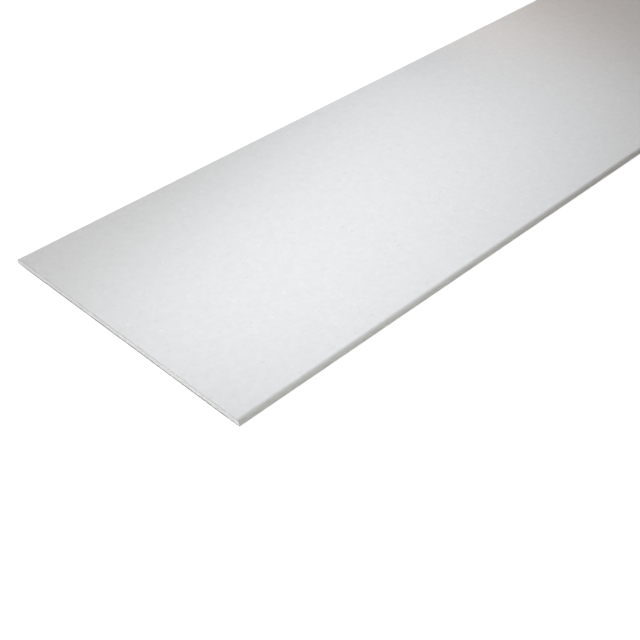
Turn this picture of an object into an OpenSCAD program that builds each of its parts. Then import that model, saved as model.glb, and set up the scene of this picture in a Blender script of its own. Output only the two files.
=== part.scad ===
// Drywall sheet: a gypsum core wrapped in face paper, with a sheet of back paper lapped over the folds.
// The sheet lies on its back with its face up. X runs along its length, Y across its width and Z up.
// The origin is the middle of the back, on the surface that the sheet lies on.

/* [Sheet] */
// Length of the sheet, between its square-cut ends
sheet_length = 2000; // [1200:10:3600]
// Width of the sheet, over its rounded long edges
sheet_width = 600; // [400:5:1250]
// Thickness of the finished sheet, paper included
sheet_thickness = 12.5; // [9.5:0.5:18]

/* [Long edges] */
// Height over which each long edge stands upright, under the curve that comes down from the face
edge_upright = 1.6; // [0.4:0.2:4]
// Radius that rounds each long edge under to the back
back_round = 2; // [1:0.25:3]

/* [Paper] */
// Thickness of the face paper
face_paper_thickness = 0.4; // [0.2:0.05:0.8]
// Thickness of the back paper
back_paper_thickness = 0.4; // [0.2:0.05:0.8]
// How far the face paper is folded in under the core, from the long edge
fold_width = 28; // [18:1:40]
// How far the back paper stops short of the long edge, which leaves that much of the fold bare
back_paper_inset = 12; // [4:1:16]

/* [Hidden] */
// The back paper lies under the folds, so the wrapped core starts at its upper side
wrap_base = back_paper_thickness;
// Radius that rounds each long edge down from the face, over all the height above the upright stretch
face_round = sheet_thickness - wrap_base - back_round - edge_upright;
// Half of the strip of core that lies on the back paper, between the two folds
open_half = sheet_width / 2 - fold_width;

face_colour = [0.87, 0.87, 0.88];
core_colour = [0.93, 0.92, 0.90];
back_colour = [0.66, 0.63, 0.58];
$fn = 64;

// A rectangle centred on the section's middle line, between two heights
module band(width, low, high) {
  translate([-width / 2, low]) square([width, high - low]);
}

// A bar with a round nose at each end, as wide as the sheet's section and twice the radius high
module round_bar(width, radius, height) {
  band(width - 2 * radius, height - radius, height + radius);
  for (side = [-1, 1])
    translate([side * (width / 2 - radius), height]) circle(r = radius);
}

// Section of the wrapped core, taken in all round by the given depth
module wrapped_section(depth = 0) {
  width = sheet_width - 2 * depth;
  low = wrap_base + depth;
  high = sheet_thickness - depth;
  face_radius = face_round - depth;
  back_radius = back_round - depth;
  // Upper half of the bar that rounds the edges down from the face
  intersection() {
    round_bar(width, face_radius, high - face_radius);
    band(sheet_width + sheet_thickness, high - face_radius, sheet_thickness + face_radius);
  }
  // Upright middle of the edges
  band(width, low + back_radius, high - face_radius);
  // Bar that rounds the edges under to the back
  round_bar(width, back_radius, low + back_radius);
}

// Section of the core: it fills the wrap, and between the folds it reaches down to the back paper
module core_section() {
  wrapped_section(face_paper_thickness);
  band(2 * open_half, wrap_base, sheet_thickness / 2);
}

// Runs a section, drawn across the sheet, along the sheet's length
module along_sheet() {
  translate([-sheet_length / 2, 0, 0])
    rotate([90, 0, 90])
      linear_extrude(sheet_length) children();
}

// Core of set gypsum, bare at the two cut ends
module gypsum_core() {
  color(core_colour) along_sheet() core_section();
}

// Paper that covers the face, turns round both long edges and folds in under the core
module face_paper() {
  color(face_colour)
    along_sheet()
      difference() {
        wrapped_section();
        core_section();
      }
}

// Paper that closes the back and laps over both folds
module back_paper() {
  color(back_colour)
    along_sheet()
      band(sheet_width - 2 * back_paper_inset, 0, back_paper_thickness);
}

gypsum_core();
face_paper();
back_paper();
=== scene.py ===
# %% [markdown]
# A drywall sheet on a studio floor.
# Drywall is a slab of set gypsum between two papers. The face paper is the wide one: it covers the face,
# turns round both long edges and folds in under the slab. The back paper closes the back and laps over
# the folds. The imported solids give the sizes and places, in metres: X runs along the sheet, Y across it
# and Z up out of its face. Each solid is modelled again here with what a cut sheet really shows, such as
# frayed paper and crumbly gypsum, exactly where the solid is.

# %% Load the frame
import math

import bmesh
import bpy
from mathutils import Matrix, Vector, noise


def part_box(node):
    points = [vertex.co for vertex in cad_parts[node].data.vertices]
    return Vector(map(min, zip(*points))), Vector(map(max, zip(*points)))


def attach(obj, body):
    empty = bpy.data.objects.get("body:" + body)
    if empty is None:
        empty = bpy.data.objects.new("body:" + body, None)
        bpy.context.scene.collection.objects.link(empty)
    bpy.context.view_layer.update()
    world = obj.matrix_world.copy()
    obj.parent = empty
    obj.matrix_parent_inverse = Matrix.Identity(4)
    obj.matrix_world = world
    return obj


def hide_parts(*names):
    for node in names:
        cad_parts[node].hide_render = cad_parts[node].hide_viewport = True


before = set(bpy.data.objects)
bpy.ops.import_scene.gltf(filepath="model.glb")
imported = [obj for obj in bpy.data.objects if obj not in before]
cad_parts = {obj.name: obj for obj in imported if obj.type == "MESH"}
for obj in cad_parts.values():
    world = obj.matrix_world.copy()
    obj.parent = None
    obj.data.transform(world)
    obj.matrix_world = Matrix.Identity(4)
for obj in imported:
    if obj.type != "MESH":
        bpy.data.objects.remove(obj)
scene = bpy.context.scene
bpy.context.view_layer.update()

# %% [markdown]
# Most sizes can be read off the boxes of the three solids: the sheet's reach, the thickness of the paper
# and the level of the folds. Three sizes of the wrapped long edge don't show in a box, so they are named
# values. The large radius at the face is what these leave of the edge's height.

# %% Read the sizes off the solids
wrap_low, wrap_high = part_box("face_paper")
core_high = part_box("gypsum_core")[1]
lap_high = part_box("back_paper")[1]

EDGE_UPRIGHT = 0.0016
BACK_ROUND = 0.002
FOLD_WIDTH = 0.028

END_X, EDGE_Y, FACE_Z = wrap_high
FOLD_Z = wrap_low.z
LAP_Y, LAP_Z = lap_high.y, lap_high.z
PAPER = FACE_Z - core_high.z
FACE_ROUND = FACE_Z - FOLD_Z - BACK_ROUND - EDGE_UPRIGHT
FOLD_END_Y = EDGE_Y - FOLD_WIDTH
print(f"sheet {2 * END_X:.3f} x {2 * EDGE_Y:.3f} x {FACE_Z:.4f} m, paper {PAPER * 1000:.2f} mm")
print(f"long edge: round of {FACE_ROUND * 1000:.2f} mm at the face, {BACK_ROUND * 1000:.2f} mm at the back")

# %% [markdown]
# The camera comes before the modelling, so that each step can be looked at from the right place. It stands
# off the nearest corner and looks down, so one short end runs away to the left and a long edge to the
# right. A place, two angles and a focal length are all it needs. A track quaternion turns the camera: its
# -Z looks along the view and its Y stays up.

# %% Set the camera
CAMERA_PLACE = Vector((-1.7973, -1.2598, 1.2395))
CAMERA_AZIMUTH = math.radians(-45.388)
CAMERA_ELEVATION = math.radians(39.559)
CAMERA_LENS_MM = 63.931

away_from_sheet = Vector((
    math.sin(CAMERA_AZIMUTH) * math.cos(CAMERA_ELEVATION),
    -math.cos(CAMERA_AZIMUTH) * math.cos(CAMERA_ELEVATION),
    math.sin(CAMERA_ELEVATION),
))
camera_data = bpy.data.cameras.new("studio_camera")
camera_data.lens = CAMERA_LENS_MM
camera = bpy.data.objects.new("studio_camera", camera_data)
camera.location = CAMERA_PLACE
camera.rotation_mode = "QUATERNION"
camera.rotation_quaternion = (-away_from_sheet).to_track_quat("-Z", "Y")
scene.collection.objects.link(camera)
scene.camera = camera
print("camera at", tuple(round(c, 3) for c in camera.location), "with a lens of", CAMERA_LENS_MM, "mm")

# %% [markdown]
# The face paper is one long wrap, so its section is drawn once and run along the sheet. A section could be
# typed in as a list of points, but a fold is easier to follow as strokes: drag a vertex across the face,
# swing it round the long edge, drag it down, swing it under, and drag it in along the fold. A drag is the
# extrusion of one vertex, and a swing is a spin, which leaves an arc behind it.

# %% Strokes for drawing a section
ALONG_SHEET = (1, 0, 0)
QUARTER_TURN = math.radians(90)


def drag(bm, vert, y, z):
    """Pulls a new vertex out of vert, joined to it by an edge, and returns it."""
    made = bmesh.ops.extrude_vert_indiv(bm, verts=[vert])["verts"][0]
    bmesh.ops.translate(bm, verts=[made], vec=(0, y, z))
    return made


def swing(bm, vert, centre_y, centre_z, steps):
    """Spins vert a quarter turn about a centre given from vert, and returns the last vertex of the arc."""
    arc = bmesh.ops.spin(
        bm,
        geom=[vert],
        cent=vert.co + Vector((0, centre_y, centre_z)),
        axis=ALONG_SHEET,
        angle=-QUARTER_TURN,
        steps=steps,
    )
    return next(part for part in arc["geom_last"] if isinstance(part, bmesh.types.BMVert))


def cut_short(bm, pitch):
    """Cuts each edge into equal edges of about that pitch, and leaves those that are as short already."""
    for edge in bm.edges[:]:
        cuts = round(edge.calc_length() / pitch) - 1
        if cuts > 0:
            bmesh.ops.subdivide_edges(bm, edges=[edge], cuts=cuts)


print("strokes ready: drag, swing and cut_short")

# %% [markdown]
# Half of the section is drawn, from the middle of the face to the end of the fold, and mirrored. The flat
# stretches are then cut into short edges, because the frayed line of the cut end is made by moving
# vertices, and they have to lie close together for that.

# %% Draw the section of the face paper
FACE_ARC_STEPS = 16
BACK_ARC_STEPS = 8
FRAY_PITCH = 0.001
MERGE = 1e-6

wrap = bmesh.new()
stroke = wrap.verts.new((-END_X, 0, FACE_Z))
stroke = drag(wrap, stroke, EDGE_Y - FACE_ROUND, 0)
stroke = swing(wrap, stroke, 0, -FACE_ROUND, FACE_ARC_STEPS)
stroke = drag(wrap, stroke, 0, -EDGE_UPRIGHT)
stroke = swing(wrap, stroke, -BACK_ROUND, 0, BACK_ARC_STEPS)
stroke = drag(wrap, stroke, BACK_ROUND - FOLD_WIDTH, 0)
bmesh.ops.mirror(wrap, geom=wrap.verts[:] + wrap.edges[:], axis="Y", merge_dist=MERGE)
cut_short(wrap, FRAY_PITCH)
print("section of the face paper:", len(wrap.verts), "vertices")

# %% [markdown]
# A section becomes a sheet by extruding its edges along X, from one station to the next. One station lies
# just inside each end, so that fraying moves the last strip only, and the length between them is cut into
# even spans. Recalculating the normals makes all faces agree, but an open sheet has no inside, so the side
# that should look outwards is tested and turned if need be. Solidify then gives the sheet its thickness,
# inwards from that side, and closes the rims.

# %% Run a section along the sheet and give it thickness
FRAY_STRIP = 0.002
SPANS = 8


def pull_out(bm, rim, distance):
    """Extrudes edges along X by that distance and returns the new edges."""
    made = bmesh.ops.extrude_edge_only(bm, edges=rim)["geom"]
    moved = [part for part in made if isinstance(part, bmesh.types.BMVert)]
    bmesh.ops.translate(bm, verts=moved, vec=(distance, 0, 0))
    return [part for part in made if isinstance(part, bmesh.types.BMEdge)]


def run_along(bm):
    """Extrudes a section that lies at the left end, station by station, as far as the right end."""
    span = 2 * (END_X - FRAY_STRIP) / SPANS
    rim = bm.edges[:]
    for step in [FRAY_STRIP] + [span] * SPANS + [FRAY_STRIP]:
        rim = pull_out(bm, rim, step)


def thicken(bm, outwards):
    """Makes paper out of an open surface, whose outermost face looks in the direction outwards."""
    bmesh.ops.recalc_face_normals(bm, faces=bm.faces[:])
    outermost = max(bm.faces, key=lambda face: face.calc_center_median().dot(outwards))
    if outermost.normal.dot(outwards) < 0:
        bmesh.ops.reverse_faces(bm, faces=bm.faces[:])
    bmesh.ops.solidify(bm, geom=bm.faces[:], thickness=PAPER)


run_along(wrap)
thicken(wrap, Vector((0, 0, 1)))
print(f"face paper: {len(wrap.faces)} faces, {wrap.calc_volume() * 1e9:.0f} cubic mm")

# %% [markdown]
# The saw at the end of the line leaves the paper a little frayed. Noise is the usual way to get such a
# line: it is smooth from one vertex to the next, and the same each time the script runs. Fractal noise adds
# up several layers of it, each finer than the one before by the lacunarity, and the increment sets how
# fast they grow fainter. The cut only goes inwards, so the sheet stays in its box. The rims that the cut
# lays open show the grey inner plies of the paper, so they get a second material slot, whose grey is
# darkened further as painted shade.

# %% Fray the cut ends of the face paper
FRAY_DEPTH = 0.00028
FRAY_WAVES = 260
FRAY_LAYERS = 3
FRAY_INCREMENT = 1.0
FRAY_LACUNARITY = 2.0
FRAY_MEAN = 0.45
FRAY_SWING = 0.6
RIM_FACING = 0.6


def on_end(vert):
    """Whether a vertex lies on one of the two cut ends."""
    return abs(vert.co.x) > END_X - MERGE


def fray(bm):
    """Pulls the vertices on both cut ends inwards, in an uneven line."""
    for vert in filter(on_end, bm.verts):
        wave = noise.fractal(vert.co * FRAY_WAVES, FRAY_INCREMENT, FRAY_LACUNARITY, FRAY_LAYERS)
        share = min(max(FRAY_MEAN + FRAY_SWING * wave, 0), 1)
        vert.co.x -= math.copysign(FRAY_DEPTH * share, vert.co.x)


def mark_cut_rims(bm):
    """Gives the faces that look along the sheet the second material slot, and returns their number."""
    bm.normal_update()
    rims = [face for face in bm.faces if abs(face.normal.x) > RIM_FACING]
    for face in rims:
        face.material_index = 1
    return len(rims)


fray(wrap)
print("frayed rims of the face paper:", mark_cut_rims(wrap), "faces")

# %% [markdown]
# A bmesh becomes a piece in the same way each time: a mesh, an object at the origin, smooth shading that
# breaks at sharp edges, and a few words for the frame. The piece rides on the sheet's only body and stands
# for the solid whose place it takes.

# %% Finish a piece
SHARP_ANGLE = math.radians(40)


def make_piece(bm, name, node):
    """Turns a bmesh into a named piece that replaces a solid of the frame."""
    for face in bm.faces:
        face.smooth = True
    mesh = bpy.data.meshes.new(name)
    bm.to_mesh(mesh)
    bm.free()
    mesh.set_sharp_from_angle(angle=SHARP_ANGLE)
    mesh.calc_loop_triangles()
    piece = bpy.data.objects.new(name, mesh)
    scene.collection.objects.link(piece)
    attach(piece, "root")
    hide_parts(node)
    print(name, "has", len(mesh.loop_triangles), "triangles")
    return piece


face_paper = make_piece(wrap, "wrapped_face_paper", "face_paper")

# %% [markdown]
# The back paper is a plain strip that lies under the core and laps over both folds. It is drawn as one
# stroke across the sheet and takes the same steps as the wrap. Its outer side looks down, so its thickness
# grows upwards from the floor.

# %% Model the back paper
lap = bmesh.new()
stroke = lap.verts.new((-END_X, -LAP_Y, 0))
drag(lap, stroke, 2 * LAP_Y, 0)
cut_short(lap, FRAY_PITCH)
run_along(lap)
thicken(lap, Vector((0, 0, -1)))
fray(lap)
print("frayed rims of the back paper:", mark_cut_rims(lap), "faces")
back_paper = make_piece(lap, "lapped_back_paper", "back_paper")

# %% [markdown]
# The core shows only at the two cut ends, as a strip of gypsum between the papers. There it needs a dense
# grid, so that crumbs and pits are real shape and not only shading. The grid has one column for each crumb
# and one at each step of the rounded edge, with a close pair where the section steps up beside the fold.

# %% Place the columns of the cut end
CRUMB_PITCH = 0.0006
STEP_WIDTH = 0.00002
CORE_Y = EDGE_Y - PAPER
CORE_TOP = FACE_Z - PAPER
CORE_FACE_ROUND = FACE_ROUND - PAPER
CORE_BACK_ROUND = BACK_ROUND - PAPER


def stations(start, stop):
    """Even stations about one crumb apart, from start up to but without stop."""
    count = max(1, round((stop - start) / CRUMB_PITCH))
    return [start + (stop - start) * k / count for k in range(count)]


curve_y = CORE_Y - CORE_FACE_ROUND
half_columns = stations(0, FOLD_END_Y) + [FOLD_END_Y] + stations(FOLD_END_Y + STEP_WIDTH, curve_y)
for k in range(FACE_ARC_STEPS + 1):
    half_columns.append(curve_y + CORE_FACE_ROUND * math.sin(QUARTER_TURN * k / FACE_ARC_STEPS))
columns = [-y for y in reversed(half_columns[1:])] + half_columns
print("columns across the cut end:", len(columns))

# %% [markdown]
# A plain grid is stretched over the section: each vertex takes the place of its column and keeps its share
# of the height there. The rim of the grid is extruded to the middle of the sheet, and a mirror makes the
# other half. That gives one closed solid with two dense ends and long plain sides, which the papers cover.

# %% Stretch a grid over the cut end and close the core
ROWS = 20
HALF_GRID = 0.5


def corner_drop(y, radius):
    """How far the outline has left its flat level at y, on a rounded corner of that radius."""
    reach = max(0, abs(y) - (CORE_Y - radius))
    return radius - math.sqrt(max(0, radius * radius - reach * reach))


def core_top(y):
    """Height of the core's upper outline at y."""
    return CORE_TOP - corner_drop(y, CORE_FACE_ROUND)


def core_bottom(y):
    """Height of the core's lower outline at y: on the back paper, or on the fold beside it."""
    level = LAP_Z if abs(y) <= FOLD_END_Y else FOLD_Z + PAPER
    return level + corner_drop(y, CORE_BACK_ROUND)


core = bmesh.new()
bmesh.ops.create_grid(core, x_segments=len(columns) - 1, y_segments=ROWS, size=HALF_GRID)
for vert in core.verts:
    y = columns[round((vert.co.x + HALF_GRID) * (len(columns) - 1))]
    share = vert.co.y + HALF_GRID
    vert.co = (-END_X, y, core_bottom(y) + share * (core_top(y) - core_bottom(y)))
pull_out(core, [edge for edge in core.edges if edge.is_boundary], END_X)
bmesh.ops.mirror(core, geom=core.verts[:] + core.edges[:] + core.faces[:], axis="X", merge_dist=MERGE)
bmesh.ops.recalc_face_normals(core, faces=core.faces[:])
print(f"core: {len(core.faces)} faces, {core.calc_volume() * 1e9:.0f} cubic mm")

# %% [markdown]
# Set gypsum is foamed, so a cut goes through small bubbles and pulls out crumbs. Three layers of noise make
# that: a broad waviness from the blade, a fine crumb, and pits. The pits sit in the cells of a Voronoi
# pattern, which gives the distance to the nearest of many scattered points: close to a point the surface
# drops, and elsewhere it doesn't. Only some cells are open, so the pits don't look like a pattern. Where
# the blade leaves the sheet, at the back, it tears crumbs out. So the lowest third of the cut also slopes
# inwards, which shows as a dark line along the foot of the end.

# %% Crumble the cut ends of the core
BLADE_DEPTH = 0.00012
BLADE_WAVES = 55
CRUMB_DEPTH = 0.0001
CRUMB_WAVES = 640
PIT_DEPTH = 0.00055
PIT_RADIUS = 0.0009
PIT_SPACING = 0.0029
PIT_OPENS_OVER = 0.15
CELL_STEP = 7.3
TEAR_DEPTH = 0.0012
TEAR_HEIGHT = 0.0046
TEAR_WAVES = 180
TEAR_MEAN = 0.8
TEAR_SWING = 0.4


def uneven(point, waves, mean=0.5, swing=0.5):
    """A share that wanders about its mean, so many waves to the metre."""
    return mean + swing * noise.noise(point * waves)


def crumble(point):
    """How deep the cut lies at a point of the end."""
    blade = BLADE_DEPTH * uneven(point, BLADE_WAVES)
    crumb = CRUMB_DEPTH * uneven(point, CRUMB_WAVES)
    distances, centres = noise.voronoi(point / PIT_SPACING)
    bowl = max(0, 1 - (distances[0] * PIT_SPACING / PIT_RADIUS) ** 2)
    is_open = noise.noise(centres[0] * CELL_STEP) > PIT_OPENS_OVER
    pit = PIT_DEPTH * bowl if is_open else 0
    low_down = max(0, 1 - (point.z - LAP_Z) / TEAR_HEIGHT)
    tear = TEAR_DEPTH * low_down * uneven(point, TEAR_WAVES, TEAR_MEAN, TEAR_SWING)
    return blade + crumb + tear + pit


deepest = 0
for vert in filter(on_end, core.verts):
    depth = max(0, crumble(vert.co))
    deepest = max(deepest, depth)
    vert.co.x -= math.copysign(depth, vert.co.x)
print(f"deepest place of the cut {deepest * 1000:.2f} mm")
gypsum_core = make_piece(core, "cut_gypsum_core", "gypsum_core")

# %% [markdown]
# The finishes are shader nodes on Object coordinates, so a pattern keeps its real size in metres and stays
# on the piece from every side. A few short helpers keep the node trees readable. The first adds a node and
# gives each of its sockets a value or a wire. The other two open a material and close it.

# %% Helpers for nodes and materials
def add(tree, kind, inputs, **settings):
    """Adds a shader node with its settings, and gives each named input a value or another node's output."""
    made = tree.nodes.new(kind)
    for name, value in settings.items():
        setattr(made, name, value)
    for name, value in inputs.items():
        socket = next(s for s in made.inputs if name in (s.identifier, s.name))
        if isinstance(value, bpy.types.NodeSocket):
            tree.links.new(value, socket)
        else:
            socket.default_value = value
    return made


def start_finish(name):
    """A new material, its empty node tree, and the object coordinates in metres."""
    material = bpy.data.materials.new(name)
    material.use_nodes = True
    material.node_tree.nodes.clear()
    place = add(material.node_tree, "ShaderNodeTexCoord", {}).outputs["Object"]
    return material, material.node_tree, place


def end_finish(tree, shader):
    """Wires a shader to the material's output."""
    add(tree, "ShaderNodeOutputMaterial", {"Surface": shader})


print("helpers ready: add, start_finish and end_finish")

# %% [markdown]
# Paper and gypsum get their looks from patterns that aren't quite even. Noise makes the clouds, and takes
# the size of its patches in metres. Coordinates that are stretched first make them long, as fibres are.
# Noise seldom leaves the middle of its range, so that part is spread out before it becomes a colour or a
# roughness. The height of a point picks out a level of the sheet.

# %% Helpers for patterns and colours
NOISE_MIDDLE = (0.3, 0.7)
RISING = (0.0, 1.0)
FALLING = (1.0, 0.0)


def stretch(tree, place, x, y, z):
    """The same coordinates, scaled, so that a pattern grows longer where the factor is small."""
    return add(tree, "ShaderNodeMapping", {"Vector": place, "Scale": (x, y, z)}).outputs["Vector"]


def clouds(tree, place, size, detail=2.0, roughness=0.5):
    """Noise from 0 to 1 whose patches are about size metres wide."""
    inputs = {"Vector": place, "Scale": 1 / size, "Detail": detail, "Roughness": roughness}
    return add(tree, "ShaderNodeTexNoise", inputs).outputs["Fac"]


def into_range(tree, value, given, wanted):
    """Stretches value from the given range into the wanted one and holds it there."""
    ends = {"From Min": given[0], "From Max": given[1], "To Min": wanted[0], "To Max": wanted[1]}
    return add(tree, "ShaderNodeMapRange", {"Value": value, **ends}).outputs["Result"]


def mix(tree, share, first, second):
    """The first colour where share is 0, the second where it is 1."""
    inputs = {"Factor_Float": share, "A_Color": first, "B_Color": second}
    outputs = add(tree, "ShaderNodeMix", inputs, data_type="RGBA").outputs
    return next(socket for socket in outputs if socket.identifier == "Result_Color")


def math_node(tree, operation, first, second=0.0):
    """One step of arithmetic on one or two values."""
    inputs = {"Value": first, "Value_001": second}
    return add(tree, "ShaderNodeMath", inputs, operation=operation).outputs["Value"]


def height_of(tree, place):
    """The height of each point over the floor."""
    return add(tree, "ShaderNodeSeparateXYZ", {"Vector": place}).outputs["Z"]


print("helpers ready: stretch, clouds, into_range, mix, math_node and height_of")

# %% [markdown]
# Flecks are single dark or pale fibres and crumbs that lie scattered in recycled paper. A Voronoi pattern
# scatters the points, a small radius turns each into a spot, and the colour of its cell, which is random,
# decides how strong the spot is, so many cells stay empty.

# %% Scatter flecks
SOLID_SHARE = 0.4


def flecks(tree, place, spacing, radius, rarity):
    """Spots from 0 to 1 of about that radius: the higher the rarity, the fewer cells have one."""
    cells = add(tree, "ShaderNodeTexVoronoi", {"Vector": place, "Scale": 1 / spacing})
    rim = radius / spacing
    spot = into_range(tree, cells.outputs["Distance"], (SOLID_SHARE * rim, rim), FALLING)
    cell = add(tree, "ShaderNodeSeparateColor", {"Color": cells.outputs["Color"]}).outputs["Red"]
    chosen = into_range(tree, cell, (rarity, 1.0), RISING)
    return math_node(tree, "MULTIPLY", spot, chosen)


print("flecks ready, solid over", SOLID_SHARE, "of their radius")

# %% [markdown]
# The face paper is pale, matt and very even, because it is made to be painted. What gives it away as paper
# is a faint cloudiness where the pulp was thicker, a fine grain of fibres that runs with the machine, along
# the sheet, and spots of several kinds: faint smudges, pale patches, fine flecks and now and then a larger
# one. Round the long edges, which rub on their neighbours in the stack, it is a little yellower. Clouds and
# grain also make a slight relief, which shows where the light comes in low.

# %% Finish of the face paper
FACE_LIGHT = (0.80, 0.80, 0.795, 1)
FACE_SHADE = (0.757, 0.757, 0.75, 1)
FACE_FIBRE = (0.66, 0.655, 0.64, 1)
FACE_SMUDGE = (0.72, 0.72, 0.71, 1)
FACE_PATCH = (0.83, 0.83, 0.825, 1)
FACE_FLECK = (0.40, 0.385, 0.36, 1)
EDGE_TONE = (0.775, 0.77, 0.71, 1)
EDGE_TONE_SHARE = 0.6
EDGE_TONE_DEPTH = 0.002


def face_paper_finish():
    """Pale, matt paper with clouds, grain and spots, a little yellower round the long edges."""
    material, tree, place = start_finish("pale_face_paper")
    pulp = clouds(tree, place, size=0.016, detail=4.0, roughness=0.85)
    grain = clouds(tree, stretch(tree, place, 0.25, 1, 1), size=0.0011)
    colour = mix(tree, into_range(tree, pulp, (0.34, 0.66), RISING), FACE_SHADE, FACE_LIGHT)
    colour = mix(tree, into_range(tree, grain, (0.45, 0.8), (0.0, 0.35)), colour, FACE_FIBRE)
    smudges = flecks(tree, stretch(tree, place, 0.6, 1, 1), spacing=0.016, radius=0.004, rarity=0.35)
    colour = mix(tree, smudges, colour, FACE_SMUDGE)
    patches = flecks(tree, stretch(tree, place, 1, 0.7, 1), spacing=0.0155, radius=0.0036, rarity=0.35)
    colour = mix(tree, patches, colour, FACE_PATCH)
    edge_heights = (FACE_Z - EDGE_TONE_DEPTH, FACE_Z)
    turned = into_range(tree, height_of(tree, place), edge_heights, (EDGE_TONE_SHARE, 0.0))
    colour = mix(tree, turned, colour, EDGE_TONE)
    fine_flecks = flecks(tree, stretch(tree, place, 0.55, 1, 1), spacing=0.0075, radius=0.0007, rarity=0.6)
    rare_flecks = flecks(tree, stretch(tree, place, 0.7, 1, 1), spacing=0.07, radius=0.0016, rarity=0.45)
    colour = mix(tree, math_node(tree, "MAXIMUM", fine_flecks, rare_flecks), colour, FACE_FLECK)
    relief = math_node(tree, "ADD", grain, pulp)
    normal = add(tree, "ShaderNodeBump", {"Strength": 0.8, "Distance": 0.0003, "Height": relief})
    shader = add(tree, "ShaderNodeBsdfPrincipled", {
        "Base Color": colour,
        "Roughness": into_range(tree, grain, (0.25, 0.75), (0.72, 0.86)),
        "Normal": normal.outputs["Normal"],
        "Specular IOR Level": 0.35,
    })
    end_finish(tree, shader.outputs["BSDF"])
    return material


face_paper.data.materials.append(face_paper_finish())
print("face paper:", face_paper.data.materials[0].name)

# %% [markdown]
# Where the saw has cut it, the paper shows its inner plies, which are grey because they are made from old
# newspaper and board; their grey is made darker still as painted shade under the cut edge of the paper. The
# rim is only as high as the paper is thick, so it reads as a thin dark line.

# %% Finish of the cut paper
# Both greys are darker than the plies alone: painted shade under the paper's cut edge.
SHADED_PLY_DARK = (0.13, 0.129, 0.126, 1)
SHADED_PLY_PALE = (0.30, 0.298, 0.292, 1)


def cut_paper_finish():
    """The grey inner plies, as a cut through the paper shows them, darkened further by painted shade."""
    material, tree, place = start_finish("grey_cut_plies_and_shade")
    plies = clouds(tree, stretch(tree, place, 1, 0.4, 3), size=0.0009, detail=3.0)
    shader = add(tree, "ShaderNodeBsdfPrincipled", {
        "Base Color": mix(tree, into_range(tree, plies, NOISE_MIDDLE, RISING), SHADED_PLY_DARK, SHADED_PLY_PALE),
        "Roughness": into_range(tree, plies, NOISE_MIDDLE, (0.85, 0.95)),
        "Specular IOR Level": 0.2,
    })
    end_finish(tree, shader.outputs["BSDF"])
    return material


cut_paper = cut_paper_finish()
face_paper.data.materials.append(cut_paper)
print("cut rims:", cut_paper.name)

# %% [markdown]
# Gypsum is off-white and chalky. Its foam gives it pores far smaller than the modelled pits, so these are a
# pattern and a bump, and their dark colour is painted shade inside them. Next to each paper the core is
# darker: a thin coat of denser slurry, without foam, is a little darker, and the band is darkened further
# as painted shade under the paper's edge and along the foot, so the core's tone follows the height.

# %% Finish of the gypsum
CHALK_LIGHT = (0.86, 0.857, 0.853, 1)
CHALK_SHADE = (0.73, 0.727, 0.721, 1)
PORE_SHADE = (0.42, 0.41, 0.385, 1)
SLURRY_AND_SHADE = (0.5, 0.499, 0.496, 1)
COAT_AND_SHADE_DEPTH = 0.0015


def gypsum_finish():
    """Chalky gypsum with pores in painted shade, and a band of slurry and painted shade next to each paper.
    """
    material, tree, place = start_finish("chalky_gypsum")
    grain = clouds(tree, place, size=0.0012, detail=4.0, roughness=0.65)
    patches = clouds(tree, place, size=0.009, detail=3.0)
    fine_tone = into_range(tree, grain, NOISE_MIDDLE, (0.0, 0.6))
    broad_tone = into_range(tree, patches, NOISE_MIDDLE, (0.0, 0.4))
    colour = mix(tree, math_node(tree, "ADD", fine_tone, broad_tone), CHALK_SHADE, CHALK_LIGHT)
    pores = flecks(tree, place, spacing=0.0012, radius=0.00028, rarity=0.35)
    # The pores are painted shade: a dark spot where the hole would lie in shadow.
    colour = mix(tree, pores, colour, PORE_SHADE)
    # Next to each paper the tone is darker, partly for the denser slurry coat and partly as painted shade
    # under the paper's edge and along the foot of the cut.
    height = height_of(tree, place)
    upper_coat_and_shade = into_range(tree, height, (CORE_TOP - COAT_AND_SHADE_DEPTH, CORE_TOP), RISING)
    lower_coat_and_shade = into_range(tree, height, (LAP_Z, LAP_Z + COAT_AND_SHADE_DEPTH), FALLING)
    colour = mix(tree, math_node(tree, "MAXIMUM", upper_coat_and_shade, lower_coat_and_shade), colour, SLURRY_AND_SHADE)
    relief = math_node(tree, "SUBTRACT", grain, pores)
    normal = add(tree, "ShaderNodeBump", {"Strength": 0.35, "Distance": 0.0002, "Height": relief})
    shader = add(tree, "ShaderNodeBsdfPrincipled", {
        "Base Color": colour,
        "Roughness": into_range(tree, grain, NOISE_MIDDLE, (0.88, 0.97)),
        "Normal": normal.outputs["Normal"],
        "Specular IOR Level": 0.2,
    })
    end_finish(tree, shader.outputs["BSDF"])
    return material


gypsum_core.data.materials.append(gypsum_finish())
print("core:", gypsum_core.data.materials[0].name)

# %% [markdown]
# The back paper is never painted, so it is left grey-brown, coarser and darker than the face, with more
# flecks of every kind. It has the same grain along the sheet, with wider contrast.

# %% Finish of the back paper
KRAFT_LIGHT = (0.40, 0.38, 0.345, 1)
KRAFT_SHADE = (0.30, 0.285, 0.255, 1)
KRAFT_FIBRE = (0.22, 0.207, 0.184, 1)
PALE_FLECK = (0.62, 0.60, 0.55, 1)
DARK_FLECK = (0.10, 0.09, 0.08, 1)


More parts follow.
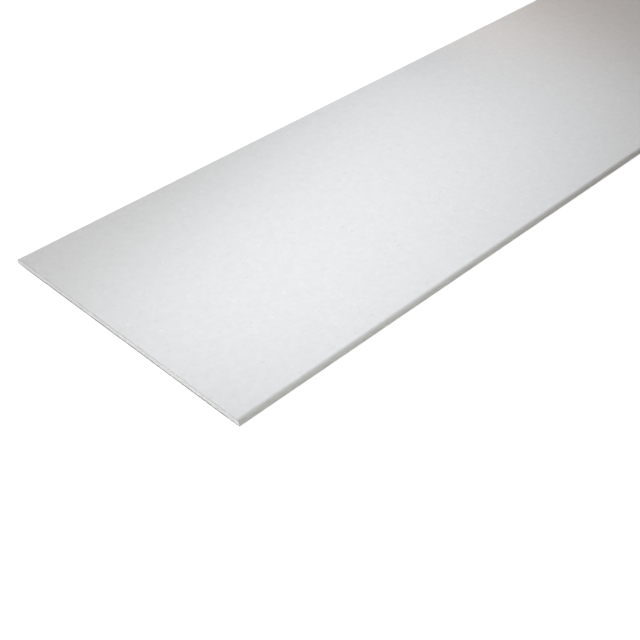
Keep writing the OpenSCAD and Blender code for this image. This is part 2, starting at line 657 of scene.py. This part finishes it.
def back_paper_finish():
    """Coarse grey-brown paper with pale and dark flecks."""
    material, tree, place = start_finish("grey_kraft_paper")
    pulp = clouds(tree, place, size=0.012, detail=4.0, roughness=0.6)
    grain = clouds(tree, stretch(tree, place, 0.22, 1, 1), size=0.0013, detail=3.0)
    colour = mix(tree, into_range(tree, pulp, NOISE_MIDDLE, RISING), KRAFT_SHADE, KRAFT_LIGHT)
    colour = mix(tree, into_range(tree, grain, (0.45, 0.8), (0.0, 0.6)), colour, KRAFT_FIBRE)
    pale = flecks(tree, stretch(tree, place, 0.4, 1, 1), spacing=0.006, radius=0.0008, rarity=0.4)
    colour = mix(tree, pale, colour, PALE_FLECK)
    dark = flecks(tree, stretch(tree, place, 1, 0.5, 1), spacing=0.0085, radius=0.0008, rarity=0.5)
    colour = mix(tree, dark, colour, DARK_FLECK)
    relief = math_node(tree, "ADD", grain, pulp)
    normal = add(tree, "ShaderNodeBump", {"Strength": 0.2, "Distance": 0.0001, "Height": relief})
    shader = add(tree, "ShaderNodeBsdfPrincipled", {
        "Base Color": colour,
        "Roughness": into_range(tree, grain, (0.25, 0.75), (0.8, 0.93)),
        "Normal": normal.outputs["Normal"],
        "Specular IOR Level": 0.3,
    })
    end_finish(tree, shader.outputs["BSDF"])
    return material


back_paper.data.materials.append(back_paper_finish())
back_paper.data.materials.append(cut_paper)
print("back paper:", back_paper.data.materials[0].name)

# %% [markdown]
# The floor and the room are white only for what looks at them: the camera, and rays that mirror or pass
# through. All other rays see a plain pale floor and a dim room, so the white doesn't light the sheet. The
# white of the floor is a glow, and a diffuse shader added to it catches the lamps. Close to the sheet the
# glow is a little under white, so the sheet's shadow shows there, and it reaches full white further out.
# From below the floor is clear.

# %% Finish of the floor
FLOOR_PALE = (0.92, 0.915, 0.9, 1)
SHADOW_CATCH = (0.28, 0.28, 0.28, 1)
SHADOW_REACH = 0.35
GLOW_AT_SHEET = 0.9
WHITE = (1, 1, 1, 1)


def looking_rays(tree):
    """1 for the rays that show the background, 0 for the rays that carry light."""
    paths = add(tree, "ShaderNodeLightPath", {}).outputs
    mirrored = math_node(tree, "MAXIMUM", paths["Is Glossy Ray"], paths["Is Transmission Ray"])
    return math_node(tree, "MAXIMUM", paths["Is Camera Ray"], mirrored)


def blend(tree, share, first, second):
    """The first shader where share is 0, the second where it is 1."""
    inputs = {"Fac": share, "Shader": first, "Shader_001": second}
    return add(tree, "ShaderNodeMixShader", inputs).outputs["Shader"]


def floor_finish():
    """White for the rays that look at it, pale for those that carry light, and clear from below."""
    material, tree, place = start_finish("white_studio_floor")
    axes = add(tree, "ShaderNodeSeparateXYZ", {"Vector": place}).outputs
    past_end = math_node(tree, "SUBTRACT", math_node(tree, "ABSOLUTE", axes["X"]), END_X)
    past_edge = math_node(tree, "SUBTRACT", math_node(tree, "ABSOLUTE", axes["Y"]), EDGE_Y)
    away = math_node(tree, "MAXIMUM", past_end, past_edge)
    strength = into_range(tree, away, (0.0, SHADOW_REACH), (GLOW_AT_SHEET, 1.0))
    glow = add(tree, "ShaderNodeEmission", {"Color": WHITE, "Strength": strength}).outputs[0]
    catch = add(tree, "ShaderNodeBsdfDiffuse", {"Color": SHADOW_CATCH}).outputs[0]
    shown = add(tree, "ShaderNodeAddShader", {"Shader": catch, "Shader_001": glow}).outputs[0]
    pale = add(tree, "ShaderNodeBsdfDiffuse", {"Color": FLOOR_PALE}).outputs[0]
    above = blend(tree, looking_rays(tree), pale, shown)
    clear = add(tree, "ShaderNodeBsdfTransparent", {}).outputs[0]
    from_below = add(tree, "ShaderNodeNewGeometry", {}).outputs["Backfacing"]
    end_finish(tree, blend(tree, from_below, above, clear))
    return material


print("floor finish ready, with a glow of", GLOW_AT_SHEET, "at the sheet")

# %% [markdown]
# The floor is one large square, a hair under the sheet. A plane with a hole could be put together from its
# corners, but it is simpler to cut the square along the four sides of the hole and delete the face in the
# middle. The hole lies under the sheet, where it can't be seen from above. Through it the light from below
# reaches the back.

# %% Lay the floor
FLOOR_REACH = 8.0
FLOOR_DROP = 0.0002
HOLE_INSET = 0.001

ground = bmesh.new()
bmesh.ops.create_grid(ground, x_segments=1, y_segments=1, size=FLOOR_REACH)
hole_x, hole_y = END_X - HOLE_INSET, EDGE_Y - BACK_ROUND - HOLE_INSET
for reach in (Vector((hole_x, 0, 0)), Vector((0, hole_y, 0))):
    for cut in (reach, -reach):
        geom = ground.verts[:] + ground.edges[:] + ground.faces[:]
        bmesh.ops.bisect_plane(ground, geom=geom, plane_co=cut, plane_no=cut.normalized())
hole = min(ground.faces, key=lambda face: face.calc_center_median().length)
bmesh.ops.delete(ground, geom=[hole], context="FACES")
bmesh.ops.translate(ground, verts=ground.verts[:], vec=(0, 0, -FLOOR_DROP))
floor_mesh = bpy.data.meshes.new("studio_floor")
ground.to_mesh(floor_mesh)
ground.free()
floor_mesh.materials.append(floor_finish())
floor = bpy.data.objects.new("studio_floor", floor_mesh)
scene.collection.objects.link(floor)
print("floor:", len(floor_mesh.polygons), "faces round the sheet")

# %% [markdown]
# The room gives a dim, warm light from all round, as the walls of a workshop do. From below the light is
# stronger and neutral: the floor keeps it from everything but the back of the sheet.

# %% Light the room
ROOM_TINT = (1.19, 1.0, 0.905, 1)
ROOM_LEVEL = 0.105
UNDER_TINT = (1.0, 0.99, 0.97, 1)
UNDER_LEVEL = 0.9
HORIZON = 0.03

room = bpy.data.worlds.new("studio_room")
room.use_nodes = True
tree = room.node_tree
tree.nodes.clear()
direction = add(tree, "ShaderNodeTexCoord", {}).outputs["Generated"]
over = into_range(tree, height_of(tree, direction), (-HORIZON, 0.0), RISING)
level = into_range(tree, over, (0.0, 1.0), (UNDER_LEVEL, ROOM_LEVEL))
tint = mix(tree, over, UNDER_TINT, ROOM_TINT)
dim = add(tree, "ShaderNodeBackground", {"Color": tint, "Strength": level}).outputs[0]
white = add(tree, "ShaderNodeBackground", {"Color": WHITE, "Strength": 1.0}).outputs[0]
add(tree, "ShaderNodeOutputWorld", {"Surface": blend(tree, looking_rays(tree), dim, white)})
scene.world = room
scene.view_settings.view_transform = "Standard"
print("room level", ROOM_LEVEL, "and", UNDER_LEVEL, "from below")

# %% [markdown]
# Five soft boxes do the rest. The key hangs low over the near half of the sheet, so the face is brightest
# there, falls off towards the far end, and turns grey where the long edge bends away from the lamp. A box
# far behind evens out the near end. A long low one on the camera's side lights the cut end and the foot of
# the long edge. Two small warm ones light the far part, one from the side and one from beyond the far end.
# A lamp shines along its own -Z, so each gets a frame of three axes: where it looks, its long side, and
# the one that is square to both.

# %% Hang the soft boxes
def hang_softbox(name, place, aim, turn, size, watts, tint, spread):
    """A rectangular area lamp that looks at a point, its long side turned in plan. Angles in degrees."""
    data = bpy.data.lights.new(name, "AREA")
    data.shape = "RECTANGLE"
    data.size, data.size_y = size
    data.energy = watts
    data.color = tint
    data.spread = math.radians(spread)
    back = (Vector(place) - Vector(aim)).normalized()
    side = Vector((math.cos(math.radians(turn)), math.sin(math.radians(turn)), 0))
    side = (side - back * side.dot(back)).normalized()
    lamp = bpy.data.objects.new(name, data)
    lamp.rotation_mode = "QUATERNION"
    lamp.rotation_quaternion = Matrix((side, back.cross(side), back)).transposed().to_quaternion()
    lamp.location = place
    lamp.visible_camera = False
    scene.collection.objects.link(lamp)
    print(name, "of", watts, "W at", place)


hang_softbox(
    "key_softbox", place=(-0.385, -0.025, 0.455), aim=(-0.35, -0.18, 0), turn=21,
    size=(1.5, 0.8), watts=2.69, tint=(0.955, 1.0, 1.05), spread=127,
)
hang_softbox(
    "back_softbox", place=(-1.31, 1.65, 1.5), aim=(-0.9, 0, 0), turn=90,
    size=(1.0, 1.0), watts=7.6, tint=(0.97, 1.0, 1.02), spread=90,
)
hang_softbox(
    "front_softbox", place=(-2.96, -0.93, 0.7), aim=(-0.5, -0.3, 0), turn=0,
    size=(2.0, 0.3), watts=21.5, tint=(0.97, 1.0, 1.02), spread=180,
)
hang_softbox(
    "far_softbox", place=(0.33, 0.505, 0.385), aim=(0.75, 0.2, 0), turn=90,
    size=(0.4, 0.4), watts=0.55, tint=(1.1, 1.0, 0.94), spread=120,
)
hang_softbox(
    "end_softbox", place=(1.33, -0.02, 0.315), aim=(1.0, 0, 0), turn=90,
    size=(0.6, 0.2), watts=0.58, tint=(1.06, 1.0, 0.96), spread=140,
)
